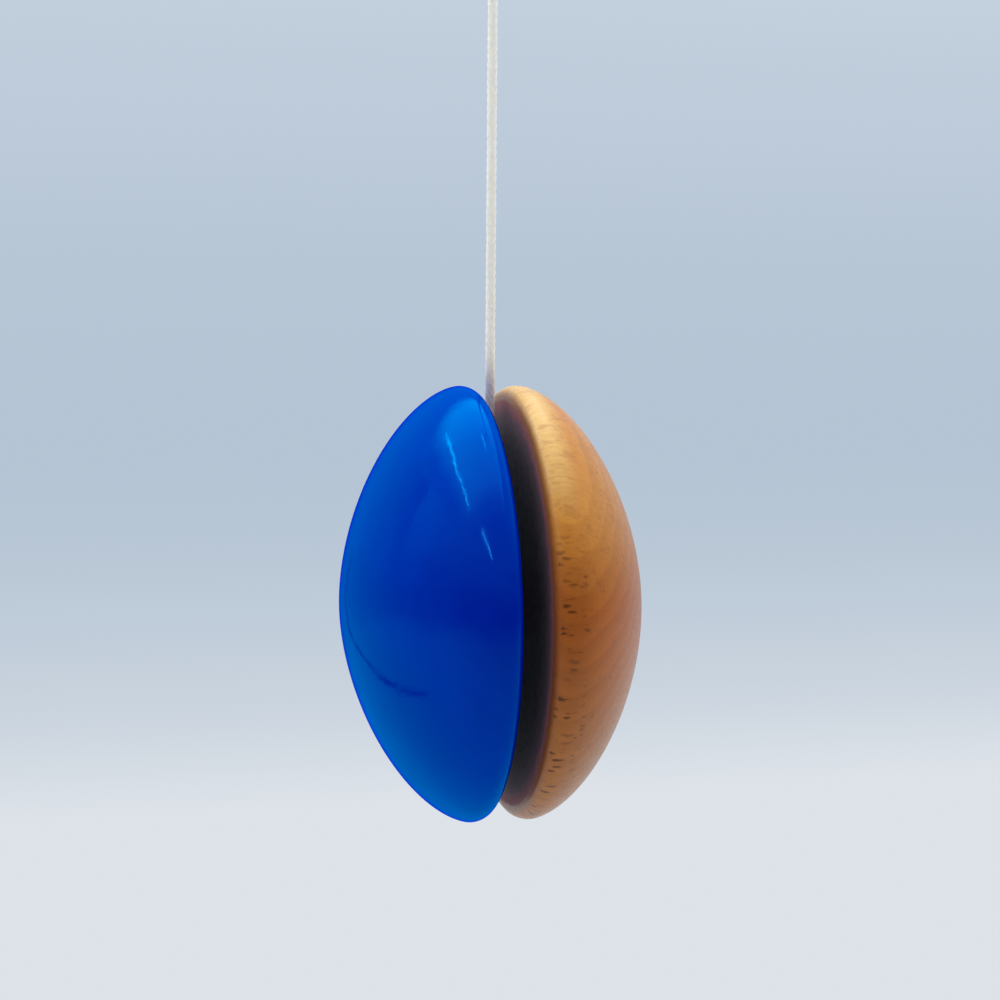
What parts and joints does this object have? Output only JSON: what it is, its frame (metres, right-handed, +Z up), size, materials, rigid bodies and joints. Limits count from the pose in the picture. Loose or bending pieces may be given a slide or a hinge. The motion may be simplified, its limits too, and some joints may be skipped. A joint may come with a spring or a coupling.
{
  "type": "yo yo",
  "caption": "Wooden yo-yo with a gloss blue half and a clear-coated natural half on a dowel axle, hanging from a twisted cotton string that ends in a slip-knotted finger loop.",
  "frame": {"origin": "inside top of the finger loop, the point where the string hangs from the finger", "axes": "+Z up along the hanging string, +X along the axle from the blue half to the natural half"},
  "size_m": [0.0392, 0.057, 0.1478],
  "materials": {
    "blue_paint": "turned beech under glossy opaque blue paint",
    "natural_wood": "turned beech under a clear gloss coat, with the inner face painted matte brown-black",
    "dowel_wood": "bare birch dowel, worn by the string",
    "cotton_string": "unbleached two-ply twisted cotton"
  },
  "bodies": {
    "finger_loop": {"finger_loop": "cotton_string"},
    "slip_knot": {"slip_knot": "cotton_string"},
    "string": {"string": "cotton_string"},
    "axle_loop": {"axle_loop": "cotton_string"},
    "yo_yo": {"blue_half": "blue_paint", "natural_half": "natural_wood", "axle": "dowel_wood"}
  },
  "joints": [
    {"name": "swing_fore_aft", "type": "hinge", "parent": "finger_loop", "child": "slip_knot", "pos_m": [0, 0, -0.0335], "axis": [1, 0, 0], "range_deg": [-80, 80]},
    {"name": "swing_sideways", "type": "hinge", "parent": "slip_knot", "child": "string", "pos_m": [0, 0, -0.0335], "axis": [0, 1, 0], "range_deg": [-60, 60]},
    {"name": "twist", "type": "hinge", "parent": "string", "child": "axle_loop", "pos_m": [0, 0, -0.1087], "axis": [0, 0, 1], "continuous": true},
    {"name": "spin", "type": "hinge", "parent": "axle_loop", "child": "yo_yo", "pos_m": [0, 0, -0.118], "axis": [1, 0, 0], "continuous": true}
  ]
}
